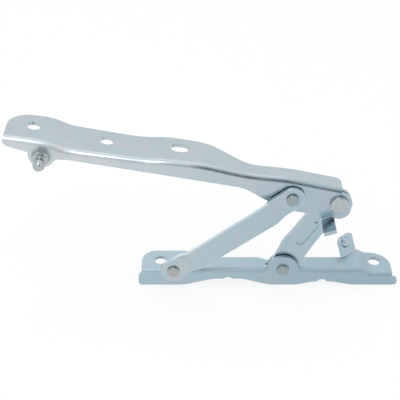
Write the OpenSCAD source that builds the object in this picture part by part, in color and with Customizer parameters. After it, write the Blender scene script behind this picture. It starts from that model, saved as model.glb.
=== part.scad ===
// Car bonnet hinge: a four-bar linkage of folded and stamped zinc-plated steel.
// The origin is the centre of the front body bolt hole, on the underside of the base.
// +X runs to the rear of the hinge, +Y away from its outer face and +Z up.

/* [Sheet] */
// Sheet thickness of the base bracket
base_t = 3; // [2.5:0.1:3.6]
// Sheet thickness of the bonnet arm
arm_t = 3; // [2.5:0.1:3.6]
// Plate thickness of both links
link_t = 3.5; // [2.5:0.1:4.5]
// Outside radius of the long folds
fold_r = 5; // [4.5:0.5:7]
// Free space between two plates that turn on each other
plate_gap = 1.1; // [1:0.1:2]

/* [Linkage] */
// Distance from the front bolt hole to the front link's lower pivot
front_pivot_x = 11.7; // [8:0.1:16]
// Height of the front link's lower pivot above the seat
front_pivot_z = 5.3; // [4:0.1:7]
// Distance from the front bolt hole to the rear link's lower pivot
rear_pivot_x = 107.2; // [100:0.1:114]
// Height of the rear link's lower pivot above the seat
rear_pivot_z = 3.3; // [2:0.1:5]
// Front link, pivot to pivot
front_link_l = 125.5; // [120:0.1:131]
// Rear link, pivot to pivot
rear_link_l = 83; // [79:0.1:87]
// Bonnet arm, pivot to pivot
arm_pivot_l = 40.3; // [38:0.1:44]
// Tilt of the arm's pivot line against its lower edge
arm_pivot_tilt = -0.4; // [-3:0.1:3]
// Slope of the front link in the pose that is drawn
front_link_angle = 37.7; // [30:0.1:58]

/* [Rivets and bushes] */
// Diameter of the rivet shanks
shank_d = 7; // [6:0.1:8]
// Diameter of the small rivet heads
head_d = 10.4; // [9.5:0.1:12]
// Diameter of the large head at the arm's rear pivot
large_head_d = 15.8; // [13:0.1:17]
// Height of the small rivet heads
head_h = 2.4; // [1.5:0.1:3]
// Height of the large head
large_head_h = 3.4; // [2.4:0.1:5]
// Diameter of the upset tails
tail_d = 11.5; // [10:0.1:13]
// Height of the upset tails
tail_h = 2; // [1.2:0.1:3]
// Wall of the bushes
bush_wall = 0.8; // [0.5:0.1:1.2]
// Diameter of the bush flanges
bush_flange_d = 14; // [12:0.1:16]
// Thickness of the bush flanges
bush_flange_t = 0.8; // [0.5:0.1:0.9]
// Running clearance between shank and bush, on the radius
run_clear = 0.05; // [0.02:0.01:0.08]
// End play under the rivet heads that a link turns against
end_play = 0.15; // [0.1:0.05:0.4]
// Diameter of the washer behind the rear link's lower eye
washer_d = 25; // [22:0.5:27]
// Thickness of that washer
washer_t = 1.2; // [0.8:0.1:2]

/* [Base bracket] */
// Distance between the two body bolt holes
bolt_pitch = 190; // [184:0.5:198]
// Diameter of the body bolt holes
bolt_d = 11; // [10:0.5:13]
// Distance from the web's outer face to the front bolt hole
bolt_to_web = 13.7; // [12.5:0.1:16]
// How much further back the rear bolt hole lies
rear_bolt_back = 3.9; // [1:0.1:6]
// How much lower the rear bolt ear sits
rear_ear_drop = 4.5; // [2:0.1:6]
// Length of the flange ahead of the front bolt hole
front_overhang = 16.5; // [15:0.1:22]
// Length of the flange behind the rear bolt hole
rear_overhang = 13.8; // [12:0.1:20]
// How far the web runs on past the flange in front
front_web_past = 2.7; // [1:0.1:5]
// How far the web runs on past the flange behind
rear_web_past = 4.6; // [3:0.1:6]
// Depth of the front bolt ear, from the web's outer face
front_ear_depth = 26.8; // [24:0.1:32]
// Depth of the flange between the ears
rail_depth = 17.4; // [15:0.1:20]
// Depth of the rear bolt ear
rear_ear_depth = 29.4; // [27:0.1:34]
// How far the web hangs below the seat at the ears and the rear pivot
web_drop = 14; // [12:0.1:17]
// How far the web hangs below the seat at the waist between the pivots
front_waist_drop = 7; // [6:0.1:9]
// How far the web hangs below the seat at the waist behind the rear pivot
rear_waist_drop = 10.2; // [8:0.1:12]
// Radius of the lobe around the rear link's lower pivot
rear_lobe_r = 13.8; // [13:0.1:15]
// Radius of the lobe around the front link's lower pivot
front_lobe_r = 9; // [8:0.1:10]
// Width of the upright ear at the back of the flange
stop_w = 16.6; // [13:0.1:17]
// Length of the upright ear above its fold
stop_h = 16; // [14:0.1:20]
// Turn of the upright ear against the flange
stop_turn = 40; // [35:1:45]
// Lean of the upright ear away from the web
stop_lean = 25; // [0:1:35]
// Inside radius of its fold
stop_fold_r = 1.5; // [1:0.1:3]
// Diameter of the button pressed out of the upright ear
button_d = 9.8; // [7:0.1:10]
// Height of that button
button_h = 2.4; // [1:0.1:2.6]

/* [Front link] */
// Width of the front link between its eyes
front_link_w = 20.5; // [18:0.1:21]
// Radius of its lower eye
front_lower_eye_r = 11.4; // [10.5:0.1:12]
// Radius of its upper eye
front_upper_eye_r = 10.4; // [10.2:0.1:11]
// How far its middle stands out from its eyes
joggle = 4; // [2:0.1:6]
// Length of each joggle
joggle_run = 11; // [6:0.5:12]
// Distance from each pivot to its joggle
joggle_start = 13; // [12:0.5:18]

/* [Rear link] */
// Radius of its lower eye
rear_lower_eye_r = 12; // [11.8:0.1:12.6]
// Radius of its upper eye
rear_upper_eye_r = 10.3; // [9.8:0.1:11]
// Half width on the belly side
belly = 15.1; // [14:0.1:17]
// Half width on the straight side
straight = 8.9; // [8:0.1:9.5]
// Play of the lower eye around its bush over the whole travel
eye_play = 3.3; // [3.2:0.05:3.6]
// How far its length stands behind its lower eye
rear_joggle = 1; // [0.8:0.1:1.6]
// Distance from the lower pivot to that joggle
rear_joggle_start = 16.5; // [16:0.1:18]
// Length of that joggle
rear_joggle_run = 5; // [3:0.1:6]
// Width of the pressed bead
bead_w = 7.6; // [5:0.1:8]
// Height of the pressed bead
bead_h = 1.5; // [0.6:0.1:1.6]
// Start of the bead, from the lower pivot
bead_start = 31; // [28:0.5:34]
// End of the bead, from the lower pivot
bead_end = 52; // [46:0.5:52.5]
// Width of the stop tab
tab_w = 10.8; // [9:0.1:12]
// How far the stop tab stands out from the link
tab_l = 19.2; // [15:0.1:21]
// Distance of the stop tab's face below the upper pivot
tab_below = 14; // [13.7:0.1:15]
// Distance of the stop tab's middle back from the upper pivot
tab_back = 13.7; // [12.5:0.1:14.5]

/* [Bonnet arm] */
// Length of the arm ahead of its front pivot
arm_reach = 238.7; // [230:0.1:246]
// Distance from the arm's front end to its first bolt hole
arm_hole_inset = 21.6; // [18:0.1:26]
// Distance from each bonnet bolt hole to the next
arm_hole_pitch = 60; // [54:0.5:64]
// Diameter of the bonnet bolt holes
arm_hole_d = 11.5; // [9:0.5:13]
// Length of the slot at the third place
slot_l = 15.5; // [13:0.5:18]
// Distance from the web's outer face to the bonnet bolt holes
arm_hole_back = 23.2; // [20:0.1:26]
// Depth of the flange at the bonnet pads
pad_depth = 38.5; // [36:0.1:42]
// Depth of the flange over the links
tail_depth = 18; // [15:0.1:20]
// Height of the flange's top above the lower edge, at the front pad
front_pad_z = 13; // [12:0.1:14.5]
// Height of the flange's top at the step behind the front pad
step_z = 9.3; // [8.5:0.1:10.5]
// Height of the flange's top at the rear pad
rear_pad_z = 15.3; // [14:0.1:16.5]
// Height of the flange's top over the links
tail_z = 14.6; // [14:0.1:16]
// Height of the lower edge along the arm
edge_z = 0.8; // [-0.5:0.1:1.5]
// Height of the lower edge between the pivots
pivot_edge_z = -14.3; // [-15:0.1:-13]
// Radius of the arm's rear end
arm_end_r = 10.7; // [10.4:0.1:11.5]
// Radius of the toe under the arm's rear end
toe_r = 9.3; // [8:0.1:9.5]
// How far the toe's centre lies below the rear pivot
toe_drop = 5.6; // [4:0.1:6]
// How far the toe's centre lies behind the rear pivot
toe_back = 1.6; // [0:0.1:3]

/* [Ball stud] */
// Distance from the arm's front end to the ball stud
stud_inset = 31.5; // [28:0.1:36]
// Height of the ball stud
stud_z = -0.2; // [-1.5:0.1:0.5]
// Radius of the lobe that carries it
stud_lobe_r = 10.2; // [9:0.1:11]
// Ball diameter
ball_d = 10; // [8:0.5:12]
// Distance from the web's outer face to the ball's centre
ball_out = 12.4; // [10.5:0.1:14]
// Hexagon of the collar and of the nut, across flats
hex_af = 13; // [12:0.5:14]
// Thickness of the collar
collar_t = 4.5; // [3:0.1:5]
// Diameter of the stud's thread
stud_d = 8; // [6:0.5:8.5]
// Diameter of the neck behind the ball
neck_d = 6.4; // [5:0.1:7]
// Thickness of the nut
nut_t = 6.5; // [5:0.1:8]

/* [Hidden] */
$fn = 48;
zinc = [0.74, 0.78, 0.81];
rivet_grey = [0.68, 0.68, 0.68];
bronze = [0.62, 0.5, 0.33];

// How far a cut runs past the face that it opens
through = 1;

// Places across the stack of plates, from the outer face of both webs
front_plate_y = -plate_gap - link_t;
rear_plate_y = max(base_t, arm_t) + plate_gap;
rear_plate_back = rear_plate_y + link_t;
rear_length_y = rear_plate_y + rear_joggle;
rear_length_back = rear_length_y + link_t;

// The linkage at rest: the front link's slope is given, so the arm's rear pivot lies where the
// arm's circle about the front link's upper end meets the rear link's circle about its lower end.
pivot_a = [front_pivot_x, front_pivot_z];
pivot_c = [rear_pivot_x, rear_pivot_z];
pivot_b = pivot_a + front_link_l * [cos(front_link_angle), sin(front_link_angle)];
span_l = norm(pivot_b - pivot_c);
along = (pivot_b - pivot_c) / span_l;
foot = (rear_link_l * rear_link_l - arm_pivot_l * arm_pivot_l + span_l * span_l) / (2 * span_l);
rise = sqrt(rear_link_l * rear_link_l - foot * foot);
pivot_d = pivot_c + foot * along + rise * [along[1], -along[0]];
arm_angle = atan2(pivot_d[1] - pivot_b[1], pivot_d[0] - pivot_b[0]) - arm_pivot_tilt;
rear_link_angle = atan2(pivot_d[1] - pivot_c[1], pivot_d[0] - pivot_c[0]);

shank_r = shank_d / 2;
bush_r = shank_r + run_clear + bush_wall;
loose_eye_r = bush_r + eye_play;

// Base bracket
base_front = -front_overhang;
base_rear = bolt_pitch + rear_overhang;
web_front = base_front - front_web_past;
web_end = base_rear + rear_web_past;
web_end_r = 3;
front_corner_r = 13;
rear_corner_r = 17;
web_corner_r = 5;
stop_foot = [rear_pivot_x + 55.4, rail_depth];
stop_back = stop_foot + stop_w * [cos(stop_turn), sin(stop_turn)];
base_top = [[rear_pivot_x, base_t], [stop_back[0], base_t], [bolt_pitch - 6, base_t - rear_ear_drop],
    [base_rear, base_t - rear_ear_drop]];
base_depth = [[base_front, front_ear_depth], [front_pivot_x + 6, front_ear_depth],
    [front_pivot_x + 42, rail_depth], [rear_pivot_x - 22, rail_depth], [rear_pivot_x - 12, rail_depth - 3.6],
    [rear_pivot_x, rail_depth - 3.6], [rear_pivot_x + 14, rail_depth], stop_foot];
base_edge = [[base_front, -web_drop], [front_pivot_x + 4, -web_drop], [front_pivot_x + 40, -front_waist_drop],
    [rear_pivot_x - 40, -front_waist_drop], [rear_pivot_x - 7, -web_drop], [rear_pivot_x + 9, -web_drop],
    [rear_pivot_x + 31, -rear_waist_drop], [rear_pivot_x + 40, -rear_waist_drop],
    [rear_pivot_x + 65, -web_drop], [base_rear, -web_drop]];
front_gap = [front_pivot_x - tail_d / 2 - 1.2, front_pivot_x + tail_d / 2 + 1.2];
front_gap_depth = base_t + tail_h + 1.2;
rear_gap = [rear_pivot_x - rear_lower_eye_r - 2.8, rear_pivot_x + rear_lower_eye_r + 2.2];
rear_gap_depth = rear_plate_back + end_play + washer_t + 1;
rear_gap_back_r = 9;
base_corner_r = 2.5;

// Bonnet arm, in its own frame: x along the lower edge from the front pivot
arm_front = -arm_reach;
arm_rear = arm_pivot_l - 1;
arm_corner_r = 17;
arm_web_corner_r = 5;
arm_tail_corner_r = 5;
arm_d = arm_pivot_l * [cos(arm_pivot_tilt), sin(arm_pivot_tilt)];
stud_x = arm_front + stud_inset;
hole_x = [for (i = [0 : 2]) arm_front + arm_hole_inset + i * arm_hole_pitch];
arm_top = [[arm_front, front_pad_z - 0.7], [hole_x[0] - 6, front_pad_z], [hole_x[0] + 9, front_pad_z],
    [hole_x[0] + 31, step_z], [hole_x[1], step_z + 0.9], [hole_x[1] + 32, step_z + 2.2],
    [hole_x[1] + 46, step_z + 4.2], [hole_x[2], rear_pad_z - 0.9], [hole_x[2] + 17, rear_pad_z],
    [-38, tail_z - 1.3], [-5, tail_z + 0.5], [arm_rear, tail_z - 0.7]];
arm_depth = [[arm_front, pad_depth - 0.5], [hole_x[0] + 17, pad_depth + 1.8], [hole_x[0] + 40, pad_depth + 0.2],
    [hole_x[1] + 24, pad_depth - 2.2], [hole_x[2] - 8, pad_depth - 1], [hole_x[2] + 20, pad_depth - 3], [-33, tail_depth - 0.4],
    [arm_rear, tail_depth]];
arm_edge = [[arm_front, 5], [stud_x - 16, 2.9], [stud_x + 12, edge_z - 1.4], [stud_x + 22, edge_z],
    [-46, edge_z], [-20, pivot_edge_z / 2 - 0.6], [4, pivot_edge_z], [arm_d[0] - 7, pivot_edge_z],
    [arm_rear, pivot_edge_z - 0.4]];

// Rear link, in its own frame: x from the lower to the upper pivot
tab_turn = -38.5;
tab_along = [cos(tab_turn), sin(tab_turn)];
tab_up = [-sin(tab_turn), cos(tab_turn)];
tab_place = [rear_link_l, 0] - tab_back * tab_along - tab_below * tab_up;
tab_fold_r = link_t + 1;
bead_r = (bead_w * bead_w / 4 + bead_h * bead_h) / (2 * bead_h);

// Smooth curve through stations [x, value], with no overshoot
function secant(s, i) = (s[i + 1][1] - s[i][1]) / (s[i + 1][0] - s[i][0]);
function slope(s, i) =
    i == 0 || i == len(s) - 1 ? 0 :
    let (a = secant(s, i - 1), b = secant(s, i))
    a * b <= 0 ? 0 : 2 * a * b / (a + b);
function span(s, x, i = 0) = i >= len(s) - 2 || x <= s[i + 1][0] ? i : span(s, x, i + 1);
function curve(s, x) =
    let (
        i = span(s, x),
        w = s[i + 1][0] - s[i][0],
        t = min(max((x - s[i][0]) / w, 0), 1),
        u = 1 - t
    )
    s[i][1] * u * u * (1 + 2 * t) + s[i + 1][1] * t * t * (3 - 2 * t)
        + w * t * u * (slope(s, i) * u - slope(s, i + 1) * t);

// How far a rounded corner of radius r draws an edge in, at a distance d from its end
function corner(d, r) = d >= r ? 0 : r - sqrt(r * r - (r - d) * (r - d));

// Places of the rings from one end to the other, closer together at rounded corners
function ring_places(x0, x1, r0, r1, step) =
    let (n = ceil((x1 - r1 - x0 - r0) / step))
    concat(
        [for (a = [0 : 15 : 75]) x0 + r0 * (1 - cos(a))],
        [for (i = [0 : n]) x0 + r0 + (x1 - r1 - x0 - r0) * i / n],
        [for (a = [75 : -15 : 0]) x1 - r1 * (1 - cos(a))]
    );

// One ring of a folded angle: web at y = 0, flange towards +Y, fold between them
function angle_path(x, top, bottom, depth, fold, skin) =
    concat(
        [[x, fold_r - fold, bottom]],
        [for (b = [0 : 15 : 90]) [x, fold_r - fold * cos(b), top - fold_r + fold * sin(b)]],
        [[x, depth, top - skin]]
    );
function angle_ring(x, top, bottom, depth, t) =
    concat(
        angle_path(x, top, bottom, depth, fold_r, 0),
        reversed(angle_path(x, top, bottom, depth, fold_r - t, t))
    );
function reversed(list) = [for (i = [len(list) - 1 : -1 : 0]) list[i]];

// Solid through rings that each hold an outer path and the same path back inside
module loft(rings) {
    n = len(rings[0]);
    last = len(rings) - 1;
    half = n / 2;
    sides = [for (k = [0 : last - 1], i = [0 : n - 1])
        let (a = k * n + i, b = k * n + (i + 1) % n)
        each [[a, b + n, a + n], [a, b, b + n]]];
    front = [for (i = [0 : half - 2])
        each [[i, n - 2 - i, i + 1], [i, n - 1 - i, n - 2 - i]]];
    back = [for (f = front) [for (i = [2 : -1 : 0]) last * n + f[i]]];
    polyhedron([for (r = rings) each r], concat(sides, front, back), convexity = 6);
}

// Bar along Y through a point of the side view
module across(place, y0, y1, r) {
    translate([place[0], y0, place[1]])
        rotate([-90, 0, 0])
            cylinder(r = r, h = y1 - y0);
}

// Flat plate: an outline in the side view, from y0 to y1
module plate(y0, y1) {
    translate([0, y1, 0])
        rotate([90, 0, 0])
            linear_extrude(y1 - y0)
                children();
}

// Everything is drawn with the outer face of both webs at y = 0, then moved to the bolt line
module in_frame() {
    translate([0, -bolt_to_web, 0])
        children();
}

// A link's own frame: x along the link from the place given
module on_line(place, angle) {
    translate([place[0], 0, place[1]])
        rotate([0, -angle, 0])
            children();
}

function base_ring(x) =
    angle_ring(
        x,
        curve(base_top, x),
        curve(base_edge, x) + corner(x - base_front, base_corner_r),
        flange_depth(x) - corner(x - base_front, front_corner_r) - corner(base_rear - x, rear_corner_r),
        base_t
    );
function flange_depth(x) =
    x <= stop_foot[0] ? curve(base_depth, x) :
    x <= stop_back[0] ? rail_depth + (x - stop_foot[0]) * tan(stop_turn) :
    min(rear_ear_depth, stop_back[1] + 0.2 * (x - stop_back[0]));

// Web that stands up around a pivot, where the flange is cut away behind it
module pivot_lobe(place, r, gap) {
    lap = 0.6;
    plate(0, base_t)
        hull() {
            translate(place)
                circle(r = r, $fn = 64);
            translate([gap[0] - lap, -web_corner_r])
                square([gap[1] - gap[0] + 2 * lap, base_t / 2 + web_corner_r]);
        }
}

module flange_gap(gap, depth) {
    translate([gap[0], base_t, base_t - fold_r])
        cube([gap[1] - gap[0], depth - base_t, fold_r + through]);
    translate([gap[0], -through, base_t - fold_r])
        cube([gap[1] - gap[0], base_t + 2 * through, fold_r + through]);
}

// Upright ear: flange, fold and upright in one profile, drawn along its fold
module stop_ear() {
    outer = stop_fold_r + base_t;
    bend = 90 - stop_lean;
    on_stop_fold()
        rotate([90, 0, 90])
            linear_extrude(stop_w) {
                translate([-1, 0])
                    square([1, base_t]);
                translate([0, outer]) {
                    intersection() {
                        difference() {
                            circle(r = outer);
                            circle(r = stop_fold_r);
                        }
                        polygon(2 * outer * [[0, 0], [0, -1], [1, -1], [sin(bend), -cos(bend)]]);
                    }
                    rotate(bend)
                        translate([0, -outer])
                            square([stop_h, base_t]);
                }
            }
}

// Stands at the foot of the upright ear, with x along its fold
module on_stop_fold() {
    translate([stop_foot[0], stop_foot[1], 0])
        rotate([0, 0, stop_turn])
            children();
}

// Stands on the upright ear's fold, with z up its length and y = 0 on its face to the web
module on_stop_face() {
    on_stop_fold()
        translate([0, 0, base_t + stop_fold_r])
            rotate([-stop_lean, 0, 0])
                translate([0, stop_fold_r, 0])
                    children();
}

// The two top corners of the upright ear
module stop_corners() {
    on_stop_face()
        for (side = [0, 1])
            translate([side * stop_w, 0, stop_h])
                mirror([side, 0, 0])
                    rounding_cut(side == 0 ? 5 : 3, base_t);
}

// Cuts a top corner of the upright ear to a radius
module rounding_cut(r, deep) {
    difference() {
        translate([-through, -through, -r])
            cube([r + through, deep + 2 * through, r + through]);
        translate([r, -2 * through, -r])
            rotate([-90, 0, 0])
                cylinder(r = r, h = deep + 4 * through);
    }
}

// Round button pressed out of the upright ear towards the web, with a sloping wall and a low crown
module button() {
    r = button_d / 2;
    on_stop_face()
        translate([0.43 * stop_w, 0.5 * base_t, 0.62 * stop_h])
            rotate([90, 0, 0])
                rotate_extrude()
                    polygon([[0, 0], [r, 0], [r, 0.45 * base_t], [0.86 * r, 0.5 * base_t + 0.65 * button_h],
                        [0.7 * r, 0.5 * base_t + 0.92 * button_h], [0.3 * r, 0.5 * base_t + button_h],
                        [0, 0.5 * base_t + button_h]]);
}

module base_bracket() {
    places = ring_places(base_front, base_rear, front_corner_r, rear_corner_r, 3.5);
    color(zinc)
        difference() {
            union() {
                difference() {
                    loft([for (x = places) base_ring(x)]);
                    flange_gap(front_gap, front_gap_depth);
                    flange_gap(rear_gap, rear_gap_depth);
                    translate([rear_pivot_x - 0.5, rear_gap_depth, base_t - fold_r])
                        cylinder(r = rear_gap_back_r, h = fold_r + through);
                }
                pivot_lobe(pivot_a, front_lobe_r, front_gap);
                pivot_lobe(pivot_c, rear_lobe_r, rear_gap);
                plate(0, base_t)
                    web_ends();
                stop_ear();
                button();
            }
            stop_corners();
            for (p = [pivot_a, pivot_c])
                across(p, -through, base_t + through, shank_r);
            body_bolt_hole([0, bolt_to_web]);
            body_bolt_hole([bolt_pitch, bolt_to_web + rear_bolt_back]);
            across([rear_pivot_x - 47.8, -front_waist_drop - 2.6], -through, base_t + through, 4.4);
            across([rear_pivot_x + 35.2, -rear_waist_drop - 2], -through, base_t + through, 4.6);
        }
}

module body_bolt_hole(place) {
    translate([place[0], place[1], -web_drop])
        cylinder(d = bolt_d, h = web_drop + base_t + through);
}

// The web runs on past both ends of the flange, with rounded corners
module web_ends() {
    web_tongue(web_front, base_front + front_corner_r, base_t - fold_r);
    web_tongue(base_rear - rear_corner_r, web_end, base_t - rear_ear_drop - fold_r);
}

module web_tongue(x0, x1, high) {
    ledge = 0.05;
    top = high - ledge;
    translate([x0 + web_end_r, -web_drop])
        square([x1 - x0 - 2 * web_end_r, top + web_drop]);
    for (x = [x0 + web_end_r, x1 - web_end_r], z = [web_end_r - web_drop, top - web_end_r])
        translate([x, z])
            circle(r = web_end_r);
    translate([x0, web_end_r - web_drop])
        square([x1 - x0, top + web_drop - 2 * web_end_r]);
}

function arm_ring(x) =
    angle_ring(
        x,
        curve(arm_top, x),
        curve(arm_edge, x),
        curve(arm_depth, x) - corner(x - arm_front, arm_corner_r) - corner(arm_rear - x, arm_tail_corner_r),
        arm_t
    );

// Stands on the flange at a bolt hole, square to the sheet there
module on_flange(x) {
    step = 2;
    lean = atan2(curve(arm_top, x + step) - curve(arm_top, x - step), 2 * step);
    translate([x, arm_hole_back, curve(arm_top, x) - arm_t / 2])
        rotate([0, -lean, 0])
            children();
}

module bonnet_arm() {
    places = ring_places(arm_front, arm_rear, arm_corner_r, arm_tail_corner_r, 4);
    drill = 2 * arm_t;
    color(zinc)
        in_frame()
            on_line(pivot_b, arm_angle)
                difference() {
                    union() {
                        loft([for (x = places) arm_ring(x)]);
                        arm_end();
                        stud_lobe();
                    }
                    for (p = [[0, 0], arm_d])
                        across(p, -through, arm_t + through, shank_r);
                    across([stud_x, stud_z], -through, arm_t + through, stud_d / 2);
                    plate(-through, fold_r)
                        arm_web_corner();
                    for (i = [0, 1])
                        on_flange(hole_x[i])
                            cylinder(d = arm_hole_d, h = drill, center = true);
                    on_flange(hole_x[2])
                        slot(drill);
                }
}

// What is cut off the web's lower front corner
module arm_web_corner() {
    r = arm_web_corner_r;
    low = curve(arm_edge, arm_front + r) - 0.1;
    difference() {
        translate([arm_front - through, low - through])
            square([r + through, r + through]);
        translate([arm_front + r, low + r])
            circle(r = r);
    }
}

// Rounded end of the web around its rear pivot, with a toe that hangs below it
module arm_end() {
    plate(0, arm_t)
        hull() {
            translate(arm_d)
                circle(r = arm_end_r, $fn = 64);
            translate(arm_d + [toe_back, -toe_drop])
                circle(r = toe_r, $fn = 64);
        }
}

module slot(h) {
    half = (slot_l - arm_hole_d) / 2;
    for (side = [-1, 1])
        translate([side * half, 0, 0])
            cylinder(d = arm_hole_d, h = h, center = true);
    translate([-half, -arm_hole_d / 2, -h / 2])
        cube([2 * half, arm_hole_d, h]);
}

// Web lobe around the ball stud, with a flared foot on its rear side
module stud_lobe() {
    plate(0, arm_t)
        hull() {
            translate([stud_x, stud_z])
                circle(r = stud_lobe_r, $fn = 64);
            translate([stud_x - stud_lobe_r - 1, edge_z + 3])
                square([2 * stud_lobe_r + 6, 1]);
        }
}

// Offset of the front link's plate along its length: set out between its two joggles
function link_offset(s) =
    let (near = min(s, front_link_l - s), t = min(max((near - joggle_start) / joggle_run, 0), 1))
    -joggle * t * t * (3 - 2 * t);
function link_ring(s) =
    let (y = front_plate_y + link_offset(s), w = front_link_w / 2)
    [[s, y, -w], [s, y, w], [s, y + link_t, w], [s, y + link_t, -w]];

module front_link() {
    ramp = [for (i = [0 : 8]) joggle_start + joggle_run * i / 8];
    places = concat([0], ramp, [for (s = reversed(ramp)) front_link_l - s], [front_link_l]);
    color(zinc)
        in_frame()
            on_line(pivot_a, front_link_angle)
                difference() {
                    union() {
                        loft([for (s = places) link_ring(s)]);
                        across([0, 0], front_plate_y, -plate_gap, front_lower_eye_r);
                        across([front_link_l, 0], front_plate_y, -plate_gap, front_upper_eye_r);
                    }
                    for (s = [0, front_link_l])
                        across([s, 0], front_plate_y - through, through, bush_r);
                }
}

// Edges of the rear link, with its belly towards the front of the hinge
belly_edge = [[0, rear_lower_eye_r], [0.31 * rear_link_l, belly], [0.44 * rear_link_l, belly - 0.6],
    [0.69 * rear_link_l, belly - 0.5], [rear_link_l, rear_upper_eye_r]];
straight_edge = [[0, -rear_lower_eye_r], [0.3 * rear_link_l, -straight - 1], [0.56 * rear_link_l, -straight],
    [0.7 * rear_link_l, -straight], [rear_link_l, -rear_upper_eye_r]];
function rear_offset(s) =
    let (t = min(max((s - rear_joggle_start) / rear_joggle_run, 0), 1))
    rear_joggle * t * t * (3 - 2 * t);
function rear_link_ring(s) =
    let (y = rear_plate_y + rear_offset(s), low = curve(straight_edge, s), high = curve(belly_edge, s))
    [[s, y, low], [s, y, high], [s, y + link_t, high], [s, y + link_t, low]];

// Pressed bead: a round-ended ridge whose crown stands bead_h out of the face
module bead(y) {
    translate([0, y + bead_r - bead_h, 2.2])
        rotate([0, 90, 0]) {
            translate([0, 0, bead_start])
                cylinder(r = bead_r, h = bead_end - bead_start);
            for (s = [bead_start, bead_end])
                translate([0, 0, s])
                    sphere(r = bead_r);
        }
}

// Slab in front of a face, which keeps only the crown of a bead
module crown_slab(y) {
    translate([bead_start - bead_w, y - bead_h - through, -bead_w])
        cube([bead_end - bead_start + 2 * bead_w, bead_h + through + link_t / 2, 3 * bead_w]);
}

// Stop tab: folded forward out of the link's straight edge, a little thinner in the fold
module stop_tab() {
    thinned = 0.05;
    inside = tab_fold_r - link_t;
    on_line(tab_place, tab_turn)
        translate([-tab_w / 2, rear_length_y - inside, 0]) {
            translate([0, inside - tab_l, -link_t])
                cube([tab_w, tab_l - inside, link_t]);
            intersection() {
                translate([0, 0, inside])
                    rotate([0, 90, 0])
                        difference() {
                            cylinder(r = tab_fold_r - thinned, h = tab_w);
                            translate([0, 0, -through])
                                cylinder(r = inside + thinned, h = tab_w + 2 * through);
                        }
                translate([-through, -thinned, -2 * tab_fold_r])
                    cube([tab_w + 2 * through, 2 * tab_fold_r, 2 * tab_fold_r + inside]);
            }
        }
}

// Room beside and below the tab, where its blank was cut free and folded away
module tab_relief() {
    on_line(tab_place, tab_turn)
        translate([-tab_w / 2 - 0.8, rear_length_y - through, -link_t - 3 * tab_w])
            cube([3 * tab_w, link_t + 2 * through, 3 * tab_w + tab_fold_r]);
}

module rear_link() {
    ramp = [for (i = [0 : 6]) rear_joggle_start + rear_joggle_run * i / 6];
    length_start = rear_joggle_start + rear_joggle_run;
    places = concat(
        [for (i = [0 : 3]) rear_joggle_start * i / 4],
        ramp,
        [for (i = [1 : 16]) length_start + (rear_link_l - length_start) * i / 16]
    );
    color(zinc)
        in_frame()
            on_line(pivot_c, rear_link_angle)
                difference() {
                    union() {
                        difference() {
                            union() {
                                loft([for (x = places) rear_link_ring(x)]);
                                across([0, 0], rear_plate_y, rear_plate_back, rear_lower_eye_r);
                            }
                            tab_relief();
                        }
                        across([rear_link_l, 0], rear_length_y, rear_length_back, rear_upper_eye_r);
                        stop_tab();
                        intersection() {
                            bead(rear_length_y);
                            crown_slab(rear_length_y);
                        }
                    }
                    intersection() {
                        bead(rear_length_back);
                        crown_slab(rear_length_back);
                    }
                    across([0, 0], rear_plate_y - through, rear_plate_back + through, loose_eye_r);
                    across([rear_link_l, 0], rear_length_y - through, rear_length_back + through, bush_r);
                }
}

// Rivet along Y: head in front of y0, shank through the plates, upset tail behind y1
module rivet(place, y0, y1, d, h) {
    edge = 0.7;
    r = d / 2;
    t = tail_d / 2;
    in_frame()
        translate([place[0], 0, place[1]])
            rotate([-90, 0, 0])
                rotate_extrude()
                    polygon([
                        [0, y0 - h], [r - 2 * edge, y0 - h], [r - edge, y0 - h + 0.3 * edge],
                        [r, y0 - h + edge], [r, y0], [shank_r, y0], [shank_r, y1], [t, y1],
                        [t, y1 + tail_h - edge], [t - edge, y1 + tail_h], [0, y1 + tail_h]
                    ]);
}

// Flanged bush along Y: sleeve from y0 to y1 with its flange from f0 to f1
module bush(place, y0, y1, f0, f1) {
    in_frame()
        translate([place[0], 0, place[1]])
            difference() {
                union() {
                    across([0, 0], y0, y1, bush_r);
                    across([0, 0], f0, f1, bush_flange_d / 2);
                }
                across([0, 0], min(y0, f0) - through, max(y1, f1) + through, shank_r + run_clear);
            }
}

module front_lower_rivet() {
    color(rivet_grey)
        rivet(pivot_a, front_plate_y - end_play, base_t, head_d, head_h);
}

module front_upper_rivet() {
    color(rivet_grey)
        rivet(pivot_b, front_plate_y - end_play, arm_t, head_d, head_h);
}

module rear_lower_rivet() {
    color(rivet_grey)
        rivet(pivot_c, 0, rear_plate_back + end_play + washer_t, head_d, head_h);
}

module rear_upper_rivet() {
    color(rivet_grey)
        rivet(pivot_d, 0, rear_length_back + end_play, large_head_d, large_head_h);
}

module front_lower_bush() {
    color(bronze)
        bush(pivot_a, front_plate_y, -plate_gap, -plate_gap, -plate_gap + bush_flange_t);
}

module front_upper_bush() {
    color(bronze)
        bush(pivot_b, front_plate_y, -plate_gap, -plate_gap, -plate_gap + bush_flange_t);
}

module rear_lower_bush() {
    color(bronze)
        bush(pivot_c, base_t, rear_plate_back + end_play, base_t, base_t + bush_flange_t);
}

module rear_upper_bush() {
    color(bronze)
        bush(pivot_d, rear_length_y, rear_length_back, rear_plate_y - bush_flange_t, rear_length_y);
}

module rear_lower_washer() {
    y = rear_plate_back + end_play;
    color(zinc)
        in_frame()
            difference() {
                across(pivot_c, y, y + washer_t, washer_d / 2);
                across(pivot_c, y - through, y + washer_t + through, shank_r);
            }
}

// Stands at the ball stud with z along its axis, out of the web's outer face
module on_stud() {
    in_frame()
        on_line(pivot_b, arm_angle)
            translate([stud_x, 0, stud_z])
                rotate([90, 0, 0])
                    children();
}

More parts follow.
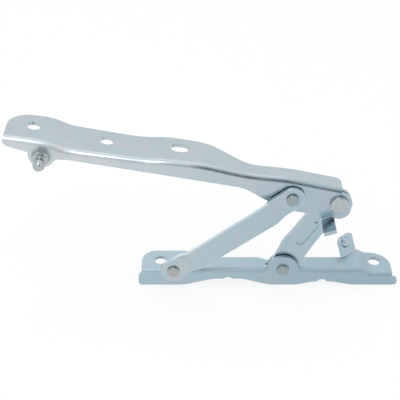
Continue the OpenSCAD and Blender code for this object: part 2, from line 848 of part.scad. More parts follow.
module ball_stud() {
    neck_r = neck_d / 2;
    tail = arm_t + nut_t + 1.5;
    color(rivet_grey)
        on_stud() {
            intersection() {
                cylinder(d = hex_af / cos(30), h = collar_t, $fn = 6);
                rotate_extrude()
                    polygon([[0, 0], [hex_af / 2 + 1, 0], [hex_af / 2 + 1, collar_t - 0.8],
                        [hex_af / 2 - 0.4, collar_t], [0, collar_t]]);
            }
            rotate_extrude()
                polygon([[0, -tail], [stud_d / 2 - 0.8, -tail], [stud_d / 2, -tail + 0.8], [stud_d / 2, collar_t - 1],
                    [neck_r + 1.2, collar_t], [neck_r, collar_t + 1.2], [neck_r, ball_out], [0, ball_out]]);
            difference() {
                translate([0, 0, ball_out])
                    sphere(d = ball_d);
                translate([0, 0, ball_out + 0.46 * ball_d])
                    cylinder(d = ball_d, h = ball_d);
            }
        }
}

module ball_stud_nut() {
    color(zinc)
        on_stud()
            translate([0, 0, -arm_t - nut_t])
                difference() {
                    intersection() {
                        cylinder(d = hex_af / cos(30), h = nut_t, $fn = 6);
                        rotate_extrude()
                            polygon([[0, 0], [hex_af / 2 - 0.4, 0], [hex_af / 2 + 1, 0.9], [hex_af / 2 + 1, nut_t],
                                [0, nut_t]]);
                    }
                    translate([0, 0, -through])
                        cylinder(d = stud_d, h = nut_t + 2 * through);
                }
}

in_frame() base_bracket();
bonnet_arm();
front_link();
rear_link();
front_lower_rivet();
front_upper_rivet();
rear_lower_rivet();
rear_upper_rivet();
front_lower_bush();
front_upper_bush();
rear_lower_bush();
rear_upper_bush();
rear_lower_washer();
ball_stud();
ball_stud_nut();
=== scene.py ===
# %% [markdown]
# # A car bonnet hinge, dressed for its portrait
#
# The hinge is a four-bar linkage of pressed steel: a base that bolts to the car's body, a long arm
# that bolts to the bonnet, and two links between them that turn on rivets. Its solids come from CAD
# and are loaded here as a fixed frame. This lesson gives them what a CAD model lacks: the rounded
# edges of sheared sheet, turned and upset rivets, a rolled thread, and the bluish look of zinc plate.
#
# Blender works in metres, in the same frame as the CAD model. Sizes that a person would measure on
# the part are written in millimetres and multiplied by MM.

# %% Load the frame
import math

import bmesh
import bpy
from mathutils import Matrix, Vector


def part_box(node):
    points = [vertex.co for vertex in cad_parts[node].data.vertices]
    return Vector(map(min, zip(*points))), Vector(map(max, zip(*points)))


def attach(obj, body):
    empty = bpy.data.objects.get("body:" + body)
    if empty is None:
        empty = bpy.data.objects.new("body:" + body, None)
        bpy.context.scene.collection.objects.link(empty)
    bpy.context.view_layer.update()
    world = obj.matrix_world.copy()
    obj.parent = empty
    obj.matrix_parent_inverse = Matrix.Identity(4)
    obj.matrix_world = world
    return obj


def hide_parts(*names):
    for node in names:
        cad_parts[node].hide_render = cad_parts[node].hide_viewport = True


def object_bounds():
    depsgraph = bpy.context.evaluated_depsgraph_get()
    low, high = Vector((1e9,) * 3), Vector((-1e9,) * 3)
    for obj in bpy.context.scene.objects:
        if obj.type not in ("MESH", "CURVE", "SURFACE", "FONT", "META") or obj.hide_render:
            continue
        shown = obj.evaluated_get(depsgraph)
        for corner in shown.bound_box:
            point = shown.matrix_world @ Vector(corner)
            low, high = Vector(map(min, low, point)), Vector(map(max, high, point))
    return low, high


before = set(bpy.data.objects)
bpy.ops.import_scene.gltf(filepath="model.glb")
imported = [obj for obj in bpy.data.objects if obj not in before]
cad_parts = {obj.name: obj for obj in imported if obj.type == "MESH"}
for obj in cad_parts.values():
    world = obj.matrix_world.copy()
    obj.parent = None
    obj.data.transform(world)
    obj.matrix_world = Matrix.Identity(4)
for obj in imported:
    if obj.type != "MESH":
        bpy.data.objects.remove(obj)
cad_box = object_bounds()
MM = 0.001

# %% [markdown]
# ## Colours and nodes
#
# A colour that is picked from a screen is an sRGB value, and a shader wants linear light. One
# function turns a hex colour into the four linear numbers that a socket takes. A second one adds a
# node to a material: its settings are keyword arguments, and each of its inputs gets either a plain
# value or another node's output, which is then linked. A third starts a material with no nodes.

# %% Helpers for materials
def linear(hex_colour):
    channels = [int(hex_colour[i:i + 2], 16) / 255 for i in (1, 3, 5)]
    bent = [c / 12.92 if c <= 0.04045 else ((c + 0.055) / 1.055) ** 2.4 for c in channels]
    return (*bent, 1.0)


def add(tree, kind, inputs=(), **settings):
    node = tree.nodes.new(kind)
    for name, value in settings.items():
        setattr(node, name, value)
    for socket, value in dict(inputs).items():
        if isinstance(value, bpy.types.NodeSocket):
            tree.links.new(value, node.inputs[socket])
        else:
            node.inputs[socket].default_value = value
    return node


def blank_material(name):
    material = bpy.data.materials.new(name)
    material.use_nodes = True
    material.node_tree.nodes.clear()
    return material, material.node_tree


print("white is", linear("#ffffff"), "and middle grey is", round(linear("#bcbcbc")[0], 3))

# %% [markdown]
# ## Bright zinc plate
#
# The pressed parts are mild steel that was electroplated with zinc and dipped in a clear blue
# passivate. The eye gets a pale, cold metal that is neither a mirror nor matt: the rolled sheet
# under the plating has a fine grain, and the plating lies on it in slow clouds. Each part was plated
# in a batch of its own, so they differ: the arm is the palest and glossiest, the rear link is bluer,
# and the base is the dullest. Sheared edges are drawn smooth by the die, so they are bright.
#
# It could be one metal with one roughness, but then it would look like plastic foil. So the colour
# comes from two slow clouds, about 22 mm and 9 mm across, and the roughness from a grain that is
# drawn out along the sheet's rolling direction. Real rolling grain is some 0.05 mm wide, too fine to
# show here, so it is drawn 0.5 mm wide and 25 times as long.

# %% Stops on a colour ramp
def set_stops(colour_ramp, stops):
    while len(colour_ramp.elements) < len(stops):
        colour_ramp.elements.new(0.5)
    for element, (at, colour) in zip(colour_ramp.elements, stops):
        element.position = at
        element.color = linear(colour)


# A Mix node's colour sockets share their names with its number sockets, so they go by index
COLOUR_A, COLOUR_B, COLOUR_OUT = 6, 7, 2
print("a colour Mix takes inputs", COLOUR_A, COLOUR_B, "and gives output", COLOUR_OUT)

# %% The zinc on flat sheet
CLOUD_MM = 22
TINT_MM = 9
TINT_SHARE = 0.32
TINTS = [(0.30, "#b9bcc6"), (0.45, "#aebfc8"), (0.58, "#a9c1c6"), (0.72, "#bcc0ba")]
GRAIN_MM = 0.5
GRAIN_DRAWN = (0.04, 1.0, 1.0)
PEEL_MM = 1.6
PEEL_DEPTH_MM = 0.03


def zinc_plate(name, cold, pale, rough_low, rough_high):
    material, tree = blank_material(name)
    place = add(tree, "ShaderNodeTexCoord").outputs["Object"]
    cloud = add(tree, "ShaderNodeTexNoise", {
        "Vector": place, "Scale": 1 / (CLOUD_MM * MM), "Detail": 3.0, "Roughness": 0.55})
    sheet = add(tree, "ShaderNodeMix", {
        "Factor": cloud.outputs["Fac"], COLOUR_A: linear(cold), COLOUR_B: linear(pale)}, data_type="RGBA")
    tint = add(tree, "ShaderNodeTexNoise", {
        "Vector": place, "Scale": 1 / (TINT_MM * MM), "Detail": 2.0, "Distortion": 0.6})
    tints = add(tree, "ShaderNodeValToRGB", {"Fac": tint.outputs["Fac"]})
    set_stops(tints.color_ramp, TINTS)
    tinted = add(tree, "ShaderNodeMix", {
        "Factor": TINT_SHARE, COLOUR_A: sheet.outputs[COLOUR_OUT], COLOUR_B: tints.outputs["Color"]},
        data_type="RGBA")
    drawn = add(tree, "ShaderNodeMapping", {"Vector": place, "Scale": GRAIN_DRAWN})
    grain = add(tree, "ShaderNodeTexNoise", {
        "Vector": drawn.outputs["Vector"], "Scale": 1 / (GRAIN_MM * MM), "Detail": 4.0, "Roughness": 0.65})
    rough = add(tree, "ShaderNodeMapRange", {
        "Value": grain.outputs["Fac"], "From Min": 0.3, "From Max": 0.7,
        "To Min": rough_low, "To Max": rough_high})
    peel = add(tree, "ShaderNodeTexNoise", {"Vector": place, "Scale": 1 / (PEEL_MM * MM), "Detail": 2.0})
    bump = add(tree, "ShaderNodeBump", {
        "Height": peel.outputs["Fac"], "Strength": 0.06, "Distance": PEEL_DEPTH_MM * MM})
    shader = add(tree, "ShaderNodeBsdfPrincipled", {
        "Base Color": tinted.outputs[COLOUR_OUT], "Metallic": 1.0, "Roughness": rough.outputs["Result"],
        "Normal": bump.outputs["Normal"]})
    add(tree, "ShaderNodeOutputMaterial", {"Surface": shader.outputs["BSDF"]})
    return material


arm_zinc = zinc_plate("zinc_plated_arm_sheet", "#b9c4ca", "#c8cfd2", 0.20, 0.30)
front_zinc = zinc_plate("zinc_plated_front_link_plate", "#afc0c7", "#bbc8cc", 0.22, 0.32)
rear_zinc = zinc_plate("zinc_plated_rear_link_plate", "#a3b9c4", "#b0c2cb", 0.24, 0.34)
base_zinc = zinc_plate("zinc_plated_base_sheet", "#aec2cb", "#bccbd2", 0.46, 0.54)
zinc_edge = zinc_plate("zinc_plated_sheared_edge", "#bfccd2", "#d0d8db", 0.18, 0.26)
print("made", [m.name for m in (arm_zinc, front_zinc, rear_zinc, base_zinc, zinc_edge)])

# %% [markdown]
# ## Painted light along a long part, and what the film and the press leave
#
# The arm, the front link and the base aren't the same tone from end to end, and this is painted
# light: each is paler at its left end, where it mirrors brighter light, and darker and bluer towards
# its right end, where it mirrors less. The film also has hues of its own, rose and straw between the
# blue, in clouds about 15 mm wide. And the press leaves its mark: it rubbed the zinc dull at the step
# behind the arm's front pad, and polished it where it bent up the base's ear.
#
# All this could be painted on an image, but a place on the part is enough. The painted light is a
# colour ramp along X, mixed into the colour, on the webs only where Y says that it is web. The hues go
# over it with an Overlay mix, which turns the hue and leaves the tone. A rubbed spot is a distance
# from one point, which is added to the roughness. Each goes in between what the shader had and the
# shader.

# %% Painted light along the part
RAMP_FROM, RAMP_TO = -120 * MM, 210 * MM
WEB_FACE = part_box("bonnet_arm")[0].y
WEB_FROM, WEB_TO = WEB_FACE + 2 * MM, WEB_FACE + 5 * MM


def shader_input(material, socket):
    tree = material.node_tree
    target = tree.nodes["Principled BSDF"].inputs[socket]
    return tree, target, target.links[0].from_socket


def painted_light_along(material, stops, share, web_only=False):
    tree, target, before = shader_input(material, "Base Color")
    place = add(tree, "ShaderNodeSeparateXYZ", {0: add(tree, "ShaderNodeTexCoord").outputs["Object"]})
    along = add(tree, "ShaderNodeMapRange", {
        "Value": place.outputs["X"], "From Min": RAMP_FROM, "From Max": RAMP_TO})
    # painted light: a ramp along X that makes the part paler at its left end and darker at its right
    painted_light_ramp = add(tree, "ShaderNodeValToRGB", {"Fac": along.outputs["Result"]})
    ramp_length = RAMP_TO - RAMP_FROM
    set_stops(painted_light_ramp.color_ramp, [((x * MM - RAMP_FROM) / ramp_length, colour) for x, colour in stops])
    if web_only:
        fade = add(tree, "ShaderNodeMapRange", {
            "Value": place.outputs["Y"], "From Min": WEB_FROM, "From Max": WEB_TO,
            "To Min": share, "To Max": 0.0})
        share = fade.outputs["Result"]
    mixed = add(tree, "ShaderNodeMix", {
        "Factor": share, COLOUR_A: before, COLOUR_B: painted_light_ramp.outputs["Color"]}, data_type="RGBA")
    tree.links.new(mixed.outputs[COLOUR_OUT], target)


# Each stop is a place along X in millimetres and the colour of the painted light there
arm_web = [(-60, "#cdd3d6"), (30, "#bdc8cd"), (75, "#b5c3ca"), (110, "#a6b9c4")]
front_plate = [(30, "#b6c5cb"), (110, "#a8bbc5")]
base_sheet = [(20, "#bccdd5"), (60, "#b5c7d0"), (150, "#a9bdc8")]
base_web = [(20, "#aec3ce"), (110, "#a7bac4"), (150, "#a2b7c3")]
# Painted light along each part: pale stops at the left end, darker and bluer ones at the right
painted_light_along(arm_zinc, arm_web, 0.85, web_only=True)
painted_light_along(front_zinc, front_plate, 0.8)
painted_light_along(base_zinc, base_sheet, 0.7)
painted_light_along(base_zinc, base_web, 0.8, web_only=True)
print("tints along", [m.name for m in (arm_zinc, front_zinc, base_zinc)])

# %% Rubbed spots
# Beyond this share of its reach, a rubbed spot fades out
SPOT_CORE = 0.4


def rubbed_spot(material, centre_mm, reach, extra):
    tree, target, before = shader_input(material, "Roughness")
    place = add(tree, "ShaderNodeTexCoord").outputs["Object"]
    far = add(tree, "ShaderNodeVectorMath", {0: place, 1: Vector(centre_mm) * MM}, operation="DISTANCE")
    rub = add(tree, "ShaderNodeMapRange", {
        "Value": far.outputs["Value"], "From Min": SPOT_CORE * reach, "From Max": reach,
        "To Min": extra, "To Max": 0.0}, interpolation_type="SMOOTHSTEP")
    total = add(tree, "ShaderNodeMath", {0: before, 1: rub.outputs["Result"]}, operation="ADD")
    tree.links.new(total.outputs[0], target)


rubbed_spot(arm_zinc, (-84, -12, 127), 22 * MM, 0.16)
rubbed_spot(base_zinc, (167, 14, 12), 20 * MM, -0.28)
print("a dull step on", arm_zinc.name, "and a polished ear on", base_zinc.name)

# %% Hues of the film
FILM_MM = 15
FILM_HUES = [(0.36, "#cdb8bf"), (0.46, "#b8bcbe"), (0.55, "#b4bdc1"), (0.66, "#c7bfb8")]


def film_clouds(material, share):
    tree, target, before = shader_input(material, "Base Color")
    place = add(tree, "ShaderNodeTexCoord").outputs["Object"]
    patch = add(tree, "ShaderNodeTexNoise", {
        "Vector": place, "Scale": 1 / (FILM_MM * MM), "Detail": 2.0, "Distortion": 0.8})
    hues = add(tree, "ShaderNodeValToRGB", {"Fac": patch.outputs["Fac"]})
    set_stops(hues.color_ramp, FILM_HUES)
    mixed = add(tree, "ShaderNodeMix", {
        "Factor": share, COLOUR_A: before, COLOUR_B: hues.outputs["Color"]},
        data_type="RGBA", blend_type="OVERLAY")
    tree.links.new(mixed.outputs[COLOUR_OUT], target)


film_shares = [(arm_zinc, 0.3), (front_zinc, 0.4), (rear_zinc, 0.4), (base_zinc, 0.42)]
for zinc, share in film_shares:
    film_clouds(zinc, share)
print("film hues on", len(film_shares), "materials")

# %% [markdown]
# ## Steel that was turned or headed
#
# The rivets are cold-headed steel with faint rings from the spinning tool, and the four have fared
# differently. The plating of one was rubbed off as its tail was upset, which leaves a warm grey. Two
# are worn to a darker, colder grey, and the wide-headed one still has its zinc. The ball stud is
# harder, turned and polished, so it is the glossiest. The nut and the washer are plated.
#
# All of them get rings about the piece's own axis, which is its local Y. Tool rings are really about
# 0.1 mm apart and are drawn 0.45 mm apart so that they show.

# %% The headed and the turned steel
RING_MM = 0.45
RING_DEPTH_MM = 0.02
SPECK_MM = 1.8
# A wave texture of scale 1 repeats at this distance
WAVE_PERIOD = 2 * math.pi / 20


def ringed_steel(name, dark, light, rough_low, rough_high):
    material, tree = blank_material(name)
    place = add(tree, "ShaderNodeTexCoord").outputs["Object"]
    rings = add(tree, "ShaderNodeTexWave", {
        "Vector": place, "Scale": WAVE_PERIOD / (RING_MM * MM), "Distortion": 1.5, "Detail": 2.0},
        wave_type="RINGS", rings_direction="Y")
    specks = add(tree, "ShaderNodeTexNoise", {"Vector": place, "Scale": 1 / (SPECK_MM * MM), "Detail": 4.0})
    colour = add(tree, "ShaderNodeMix", {
        "Factor": specks.outputs["Fac"], COLOUR_A: linear(dark), COLOUR_B: linear(light)}, data_type="RGBA")
    rough = add(tree, "ShaderNodeMapRange", {
        "Value": rings.outputs["Fac"], "To Min": rough_low, "To Max": rough_high})
    bump = add(tree, "ShaderNodeBump", {
        "Height": rings.outputs["Fac"], "Strength": 0.1, "Distance": RING_DEPTH_MM * MM})
    shader = add(tree, "ShaderNodeBsdfPrincipled", {
        "Base Color": colour.outputs[COLOUR_OUT], "Metallic": 1.0, "Roughness": rough.outputs["Result"],
        "Normal": bump.outputs["Normal"]})
    add(tree, "ShaderNodeOutputMaterial", {"Surface": shader.outputs["BSDF"]})
    return material


rivet_steel = ringed_steel("cold_headed_rivet_steel", "#a9a9a8", "#bdbcba", 0.30, 0.42)
pin_steel = ringed_steel("zinc_plated_pin_steel", "#abb3b6", "#bfc5c7", 0.28, 0.38)
worn_steel = ringed_steel("worn_pin_steel", "#959fa2", "#a7b0b3", 0.30, 0.40)
stud_steel = ringed_steel("turned_stud_steel", "#a6aeb0", "#c0c6c8", 0.12, 0.20)
nut_zinc = ringed_steel("zinc_plated_nut_steel", "#a9b6bd", "#bcc7cc", 0.24, 0.34)
print("made", [m.name for m in (rivet_steel, pin_steel, worn_steel, stud_steel, nut_zinc)])

# %% [markdown]
# ## Sintered bronze
#
# The pivots turn in thin flanged bushes. Oil-filled sintered bronze is pressed from powder, so it is
# dull, brown and speckled by its pores. The pores are about 0.1 mm and are drawn 0.4 mm wide. Only
# the rims of the bushes show, in the slits between the plates.

# %% The bush bronze
PORE_MM = 0.4
bush_bronze, tree = blank_material("sintered_bronze")
place = add(tree, "ShaderNodeTexCoord").outputs["Object"]
pores = add(tree, "ShaderNodeTexVoronoi", {"Vector": place, "Scale": 1 / (PORE_MM * MM)})
tone = add(tree, "ShaderNodeMix", {
    "Factor": pores.outputs["Distance"], COLOUR_A: linear("#6f5a3d"), COLOUR_B: linear("#a98a5c")},
    data_type="RGBA")
shader = add(tree, "ShaderNodeBsdfPrincipled", {
    "Base Color": tone.outputs[COLOUR_OUT], "Metallic": 1.0, "Roughness": 0.5})
add(tree, "ShaderNodeOutputMaterial", {"Surface": shader.outputs["BSDF"]})
print("made", bush_bronze.name)

# %% [markdown]
# ## Pressed sheet with rounded edges
#
# The base, the arm and the two links are sheet and plate. Their CAD solids have the right shape, but
# every edge is knife sharp, and the curved folds are made of narrow flats. A press leaves a small
# radius on the punched side of each edge, and that radius is what catches the light.
#
# One way is to model each part again. It is simpler and truer to copy the solid's mesh, weld its
# seams, join the flat triangles into whole faces, and let a bevel round each edge that turns by more
# than 38 degrees. The bevel's own faces take the second material, so the sheared edge is a little
# brighter than the sheet.

# %% Copy a solid and round its edges
SHARP_ANGLE = math.radians(38)
FLAT_ANGLE = math.radians(0.2)
WELD = 0.002 * MM


def rounded_sheet(node, name, body, zinc, edge_mm):
    bm = bmesh.new()
    bm.from_mesh(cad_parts[node].data)
    bmesh.ops.remove_doubles(bm, verts=bm.verts, dist=WELD)
    bmesh.ops.dissolve_limit(bm, angle_limit=FLAT_ANGLE, verts=bm.verts, edges=bm.edges)
    bmesh.ops.recalc_face_normals(bm, faces=bm.faces)
    for face in bm.faces:
        face.smooth = True
        face.material_index = 0
    for edge in bm.edges:
        edge.smooth = len(edge.link_faces) == 2 and edge.calc_face_angle() < SHARP_ANGLE
    mesh = bpy.data.meshes.new(name)
    bm.to_mesh(mesh)
    bm.free()
    if "custom_normal" in mesh.attributes:
        mesh.attributes.remove(mesh.attributes["custom_normal"])
    mesh.materials.append(zinc)
    mesh.materials.append(zinc_edge)
    piece = bpy.data.objects.new(name, mesh)
    bpy.context.scene.collection.objects.link(piece)
    bevel = piece.modifiers.new("sheared_edge", "BEVEL")
    bevel.width = edge_mm * MM
    bevel.segments = 3
    bevel.limit_method = "ANGLE"
    bevel.angle_limit = SHARP_ANGLE
    bevel.material = 1
    bevel.harden_normals = True
    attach(piece, body)
    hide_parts(node)
    print(name, "has", len(mesh.polygons), "faces before its edges are rounded")


rounded_sheet("base_bracket", "pressed_base", "base", base_zinc, 0.45)
rounded_sheet("bonnet_arm", "pressed_arm", "bonnet_arm", arm_zinc, 0.45)
rounded_sheet("front_link", "stamped_front_link", "front_link", front_zinc, 0.5)
rounded_sheet("rear_link", "stamped_rear_link", "rear_link", rear_zinc, 0.5)

# %% [markdown]
# ## Solids of rings
#
# Rivets, stud, nut and washer are all round about one axis, or nearly so: a hexagon is only a circle
# whose radius changes with the angle, and a thread is one whose radius changes with the angle and the
# height. So one function makes them all. It takes rings along the axis, each with its place and its
# radius in millimetres, where the radius is a number or a function of the angle, and joins each ring
# to the next.

# %% A solid from rings about the Y axis
SIDES = 72
CREASE = math.radians(30)


def ring_solid(name, rings, centre, turn=0.0, ring_shaped=False):
    bm = bmesh.new()
    loops = []
    for along, radius in rings:
        loop = []
        for i in range(SIDES):
            angle = 2 * math.pi * i / SIDES
            r = radius(angle) if callable(radius) else radius
            spot = (r * math.cos(angle + turn) * MM, along * MM, r * math.sin(angle + turn) * MM)
            loop.append(bm.verts.new(spot))
        loops.append(loop)
    pairs = list(zip(loops, loops[1:]))
    if ring_shaped:
        pairs.append((loops[-1], loops[0]))
    else:
        for loop, (along, _) in ((loops[0], rings[0]), (loops[-1], rings[-1])):
            tip = bm.verts.new((0, along * MM, 0))
            for i in range(SIDES):
                bm.faces.new((loop[i], loop[(i + 1) % SIDES], tip))
    for lower, upper in pairs:
        for i in range(SIDES):
            j = (i + 1) % SIDES
            bm.faces.new((lower[i], lower[j], upper[j], upper[i]))
    bmesh.ops.recalc_face_normals(bm, faces=bm.faces)
    for face in bm.faces:
        face.smooth = True
    for edge in bm.edges:
        edge.smooth = edge.calc_face_angle() < CREASE
    mesh = bpy.data.meshes.new(name)
    bm.to_mesh(mesh)
    bm.free()
    piece = bpy.data.objects.new(name, mesh)
    piece.location = centre
    bpy.context.scene.collection.objects.link(piece)
    return piece


def finish_piece(piece, material, body, node):
    piece.data.materials.append(material)
    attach(piece, body)
    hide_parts(node)
    print(piece.name, "stands for", node, "on", body)


print("each ring has", SIDES, "points")

# %% [markdown]
# ## Rivets
#
# Each rivet was a headed pin whose far end was spun over a rivet set. The head has a rounded rim, a
# shallow ring where the heading tool's pin stood, and a small crown; the tail has a dished middle.
# The place and the length of each rivet come from its CAD solid, so head, shank and tail seat on the
# same faces. The rear upper rivet has a wider head than the other three.

# %% The four rivets
SHANK_R = 3.5
TAIL_R = 5.75
TAIL_H = 2.0


def rivet_rings(start, end, head_r, head_h):
    crown = 0.5 * head_r
    head = start + head_h
    tail = end - TAIL_H
    crown_rings = [
        (start + 0.12, 0.35), (start + 0.03, 0.5 * crown), (start, 0.8 * crown), (start + 0.06, crown)]
    tool_ring = [
        (start + 0.24, crown + 0.18), (start + 0.26, crown + 0.45), (start + 0.12, crown + 0.75)]
    rim = [
        (start + 0.09, head_r - 1.1), (start + 0.16, head_r - 0.7), (start + 0.36, head_r - 0.3),
        (start + 0.62, head_r - 0.07), (start + 0.9, head_r), (head - 0.12, head_r), (head, head_r - 0.12)]
    shank = [(head, SHANK_R), (tail, SHANK_R)]
    tail_rim = [
        (tail, TAIL_R - 0.15), (tail + 0.15, TAIL_R), (end - 0.8, TAIL_R), (end - 0.35, TAIL_R - 0.15),
        (end - 0.08, TAIL_R - 0.6), (end, TAIL_R - 1.2)]
    dish = [(end, 3.0), (end - 0.25, 2.5), (end - 0.45, 1.2), (end - 0.5, 0.3)]
    return crown_rings + tool_ring + rim + shank + tail_rim + dish


# Radius and height of a head
SMALL_HEAD = (5.2, 2.4)
WIDE_HEAD = (7.9, 3.4)
rivets = [
    ("front_lower_rivet", "base", SMALL_HEAD, rivet_steel),
    ("front_upper_rivet", "bonnet_arm", SMALL_HEAD, worn_steel),
    ("rear_lower_rivet", "base", SMALL_HEAD, worn_steel),
    ("rear_upper_rivet", "bonnet_arm", WIDE_HEAD, pin_steel),
]
for node, body, (head_r, head_h), steel in rivets:
    low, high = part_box(node)
    half = (high.y - low.y) / 2 / MM
    rings = rivet_rings(-half, half, head_r, head_h)
    rivet = ring_solid(node.replace("rivet", "headed_rivet"), rings, (low + high) / 2)
    finish_piece(rivet, steel, body, node)

# %% [markdown]
# ## Ball stud and nut
#
# The lift strut snaps onto a ball on the arm's outer face. Behind the ball are a waist, a hexagon
# collar that a spanner holds, and a threaded end that a nut pulls tight from behind the web. A
# hexagon's top is cut by a cone, so its corners are lower than its sides: the ring at the edge drops
# with the radius. The thread climbs 1.25 mm a turn, which is the usual pitch for 8 mm, and its crest
# and root are a little flat.

# %% Hexagon and thread as functions of the angle
HEX_AF = 13.0
HEX_CONE = math.radians(30)
CONE_START = 0.12
STUD_R = 4.0
PITCH = 1.25
THREAD_DEPTH = 0.6


def hexagon(angle):
    off = (angle + math.pi / 6) % (math.pi / 3) - math.pi / 6
    return HEX_AF / 2 / math.cos(off)


def thread_at(along):
    def radius(angle):
        phase = (along / PITCH + angle / (2 * math.pi)) % 1.0
        rise = abs(2 * phase - 1)
        return STUD_R - THREAD_DEPTH * min(max(1.25 * rise - 0.1, 0.0), 1.0)
    return radius


def hex_chamfer(piece, flat_along, towards, hex_ring):
    for i in range(SIDES):
        vertex = piece.data.vertices[hex_ring * SIDES + i]
        past_flat = math.hypot(vertex.co.x, vertex.co.z) / MM - HEX_AF / 2
        vertex.co.y = (flat_along + towards * (past_flat * math.tan(HEX_CONE) + CONE_START)) * MM


print("across the corners the hexagon is", round(2 * hexagon(math.pi / 6), 2), "mm")

# %% Where the stud sits
WEB_T = 3.0
low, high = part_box("ball_stud")
nut_low, nut_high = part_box("ball_stud_nut")
web_front = nut_low.y - WEB_T * MM
stud_axis = (nut_low + nut_high) / 2
stud_centre = Vector((stud_axis.x, web_front, stud_axis.z))
tip = (low.y - web_front) / MM
end = (high.y - web_front) / MM
print("the stud goes from", round(tip, 2), "to", round(end, 2), "mm about the web's face")

# %% The ball stud
COLLAR_T = 4.5
NECK_R = 3.2
BALL_R = 5.0
TIP_TO_CENTRE = 4.6
BALL_FROM, BALL_TO, BALL_STEPS = 20, 140, 12
TURN_STEPS = 10
ball_centre = tip + TIP_TO_CENTRE
rings = [(tip, 0.9), (tip + 0.05, 1.55)]
for step in range(1, BALL_STEPS + 1):
    angle = math.radians(BALL_FROM + step * (BALL_TO - BALL_FROM) / BALL_STEPS)
    rings.append((ball_centre - BALL_R * math.cos(angle), BALL_R * math.sin(angle)))
collar = -COLLAR_T
rings += [
    (collar - 1.2, NECK_R), (collar - 0.5, NECK_R + 0.25), (collar - 0.1, NECK_R + 0.8),
    (collar, NECK_R + 1.3)]
hex_top = len(rings) + 1
rings += [
    (collar, HEX_AF / 2 - 0.35), (collar + 0.3, hexagon), (-0.25, hexagon),
    (0, lambda angle: hexagon(angle) - 0.25)]
core_r = STUD_R - THREAD_DEPTH
rings += [(0, STUD_R), (WEB_T, STUD_R), (WEB_T + 0.05, core_r)]
thread_from = WEB_T + 0.2
steps = int((end - 0.8 - thread_from) / PITCH * TURN_STEPS)
for step in range(steps):
    along = thread_from + step * PITCH / TURN_STEPS
    rings.append((along, thread_at(along)))
rings += [(end - 0.7, core_r - 0.1), (end, core_r - 0.6), (end, 0.5)]
stud = ring_solid("turned_ball_stud", rings, stud_centre, turn=math.radians(12))
hex_chamfer(stud, collar, 1, hex_top)
finish_piece(stud, stud_steel, "bonnet_arm", "ball_stud")
print("ball centre is", round(-ball_centre, 2), "mm out of the web; the thread has", steps, "rings")

# %% The nut
nut_end = WEB_T + (nut_high.y - nut_low.y) / MM
face_r = HEX_AF / 2 - 0.4
mouth_r = STUD_R + 0.5
rings = [
    (WEB_T, mouth_r), (WEB_T, face_r), (WEB_T + 0.3, hexagon), (nut_end - 0.3, hexagon),
    (nut_end, face_r), (nut_end, mouth_r), (nut_end - 0.5, STUD_R), (WEB_T + 0.5, STUD_R),
]
nut = ring_solid("stud_hex_nut", rings, stud_centre, turn=math.radians(25), ring_shaped=True)
hex_chamfer(nut, WEB_T, 1, 2)
hex_chamfer(nut, nut_end, -1, 3)
finish_piece(nut, nut_zinc, "bonnet_arm", "ball_stud_nut")

# %% [markdown]
# ## Washer and bushes
#
# A plain stamped washer keeps the rear link's lower eye on its rivet. One face has the round edge of
# the die and the other a faint burr, so its two edges differ a little. The bushes are right as CAD
# made them and only take their bronze.

# %% The washer and the bushes
low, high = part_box("rear_lower_washer")
half = (high.y - low.y) / 2 / MM
outer = (high.x - low.x) / 2 / MM
rings = [
    (-half, SHANK_R), (-half, outer - 0.35), (-half + 0.12, outer - 0.1), (-half + 0.35, outer),
    (half - 0.1, outer), (half, outer - 0.1), (half, SHANK_R),
]
washer = ring_solid("pivot_washer", rings, (low + high) / 2, ring_shaped=True)
finish_piece(washer, nut_zinc, "base", "rear_lower_washer")
bushes = ["front_lower_bush", "front_upper_bush", "rear_lower_bush", "rear_upper_bush"]
for node in bushes:
    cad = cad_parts[node]
    cad.data.materials.clear()
    cad.data.materials.append(bush_bronze)
print("bronze on", len(bushes), "bushes")

# %% [markdown]
# ## Floor
#
# The hinge stands on the lower edge of its base. The floor is a wide, plain, near-white plane. Where
# the camera or the metal sees it, it is four fifths white paper that glows and one fifth a matt sheet
# that takes the hinge's soft shadow. For all other light it is matt alone, so it doesn't flood the
# part from below.

# %% The white paper floor
FLOOR_SIZE = 12.0
PAPER_WHITE = 0.8
paper, tree = blank_material("white_paper")
ray = add(tree, "ShaderNodeLightPath")
seen = ray.outputs["Is Camera Ray"]
for kind in ("Is Glossy Ray", "Is Transmission Ray"):
    seen = add(tree, "ShaderNodeMath", {0: seen, 1: ray.outputs[kind]}, operation="MAXIMUM").outputs[0]
share = add(tree, "ShaderNodeMath", {0: seen, 1: PAPER_WHITE}, operation="MULTIPLY")
matt = add(tree, "ShaderNodeBsdfDiffuse", {"Color": linear("#fcfcfc")})
white = add(tree, "ShaderNodeEmission", {"Color": linear("#ffffff"), "Strength": 1.0})
mixed = add(tree, "ShaderNodeMixShader", {
    "Fac": share.outputs[0], 1: matt.outputs[0], 2: white.outputs[0]})
add(tree, "ShaderNodeOutputMaterial", {"Surface": mixed.outputs[0]})
floor_z = cad_box[0][2]
half = FLOOR_SIZE / 2
bm = bmesh.new()
corners = [(-half, -half), (half, -half), (half, half), (-half, half)]
bm.faces.new([bm.verts.new((x, y, floor_z)) for x, y in corners])
floor_mesh = bpy.data.meshes.new("floor")
bm.to_mesh(floor_mesh)
bm.free()
floor_mesh.materials.append(paper)
floor = bpy.data.objects.new("floor", floor_mesh)
bpy.context.scene.collection.objects.link(floor)
print("floor at", round(floor_z / MM, 1), "mm")

# %% [markdown]
# ## Studio light
#
# Bright metal shows its surroundings more than its own colour, so the light is built for what the
# zinc should mirror. A softbox hangs above and in front of the hinge, a little to the left, and runs
# as a white line along the left half of the arm's fold. A weaker lamp behind lights the upper faces,
# and a card at the back left gives the upper edges a gleam. The lamps are hidden from the camera, as a
# studio's are kept out of the picture.

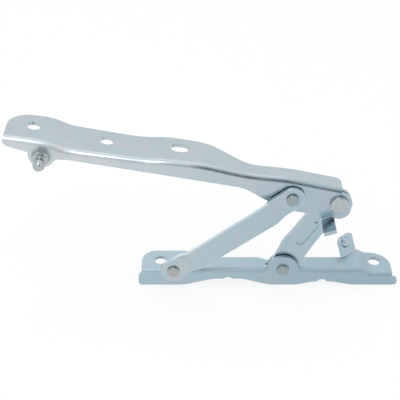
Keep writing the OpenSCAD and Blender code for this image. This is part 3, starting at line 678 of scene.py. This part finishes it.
# %% The lamps
def softbox(name, place, aim, size, watts):
    lamp = bpy.data.lights.new(name, "AREA")
    lamp.shape = "RECTANGLE"
    lamp.size, lamp.size_y = size
    lamp.energy = watts
    lamp_object = bpy.data.objects.new(name, lamp)
    lamp_object.location = place
    lamp_object.visible_camera = False
    lamp_object.rotation_euler = (Vector(aim) - Vector(place)).to_track_quat("-Z", "Y").to_euler()
    bpy.context.scene.collection.objects.link(lamp_object)
    print(name, "gives", watts, "W")


ARM_MIDDLE = (-0.05, -0.01, 0.11)
HINGE_MIDDLE = (0.03, 0.0, 0.06)
softbox("key_softbox", (-0.08, -0.37, 0.83), ARM_MIDDLE, (0.36, 0.50), 1.0)
softbox("overhead", (0.05, 0.50, 1.10), HINGE_MIDDLE, (0.9, 0.4), 0.5)
softbox("back_left_card", (-0.78, 1.00, 0.20), HINGE_MIDDLE, (0.6, 0.5), 0.5)

# %% [markdown]
# ## The room
#
# The rest of what the metal mirrors is a white room with one darker opening, in front and a little to
# the right, where a studio has no lamp. The fold's right half mirrors it as a dark line. The room is a
# world background: it could be a picture, but a direction is enough. Five soft steps along the
# direction's X, Y and Z are multiplied, and their product is 1 only inside the opening.

# %% A white room with a dark opening
OPENING_STEPS = [
    ("X", 0.09, 0.20), ("X", 0.46, 0.36), ("Y", 0.05, -0.25), ("Z", 0.04, 0.20), ("Z", 0.95, 0.80)]
room = bpy.data.worlds.new("white_room")
room.use_nodes = True
tree = room.node_tree
tree.nodes.clear()
way = add(tree, "ShaderNodeSeparateXYZ", {0: add(tree, "ShaderNodeTexCoord").outputs["Generated"]})
opening = None
for axis, outside, inside in OPENING_STEPS:
    step = add(tree, "ShaderNodeMapRange", {
        "Value": way.outputs[axis], "From Min": outside, "From Max": inside},
        interpolation_type="SMOOTHSTEP").outputs["Result"]
    if opening is None:
        opening = step
    else:
        opening = add(tree, "ShaderNodeMath", {0: opening, 1: step}, operation="MULTIPLY").outputs[0]
room_tone = add(tree, "ShaderNodeMix", {
    "Factor": opening, COLOUR_A: linear("#fbfcfc"), COLOUR_B: linear("#32353a")}, data_type="RGBA")
glow = add(tree, "ShaderNodeBackground", {"Color": room_tone.outputs[COLOUR_OUT], "Strength": 1.0})
add(tree, "ShaderNodeOutputWorld", {"Surface": glow.outputs[0]})
bpy.context.scene.world = room
print("the room's opening has", len(OPENING_STEPS), "soft edges")

# %% [markdown]
# ## Camera
#
# The photograph was taken square on to the hinge's outer face and from 36 degrees above. The eye's
# distance comes from how the two rows of holes draw together, and the lens from the picture's scale.
# The Standard view keeps a colour about as it is written.

# %% The camera
ELEVATION = math.radians(36)
DISTANCE = 764.5 * MM
TARGET = Vector((34.82, -13.7, 78.56)) * MM
camera_data = bpy.data.cameras.new("camera")
camera_data.sensor_fit = "HORIZONTAL"
camera_data.sensor_width = 36.0
camera_data.lens = 83.25
camera_data.clip_start = 0.01
camera = bpy.data.objects.new("camera", camera_data)
camera.location = TARGET + DISTANCE * Vector((0, -math.cos(ELEVATION), math.sin(ELEVATION)))
camera.rotation_euler = (TARGET - camera.location).to_track_quat("-Z", "Y").to_euler()
bpy.context.scene.collection.objects.link(camera)
bpy.context.scene.camera = camera
bpy.context.scene.view_settings.view_transform = "Standard"
print("eye at", [round(v / MM, 1) for v in camera.location])
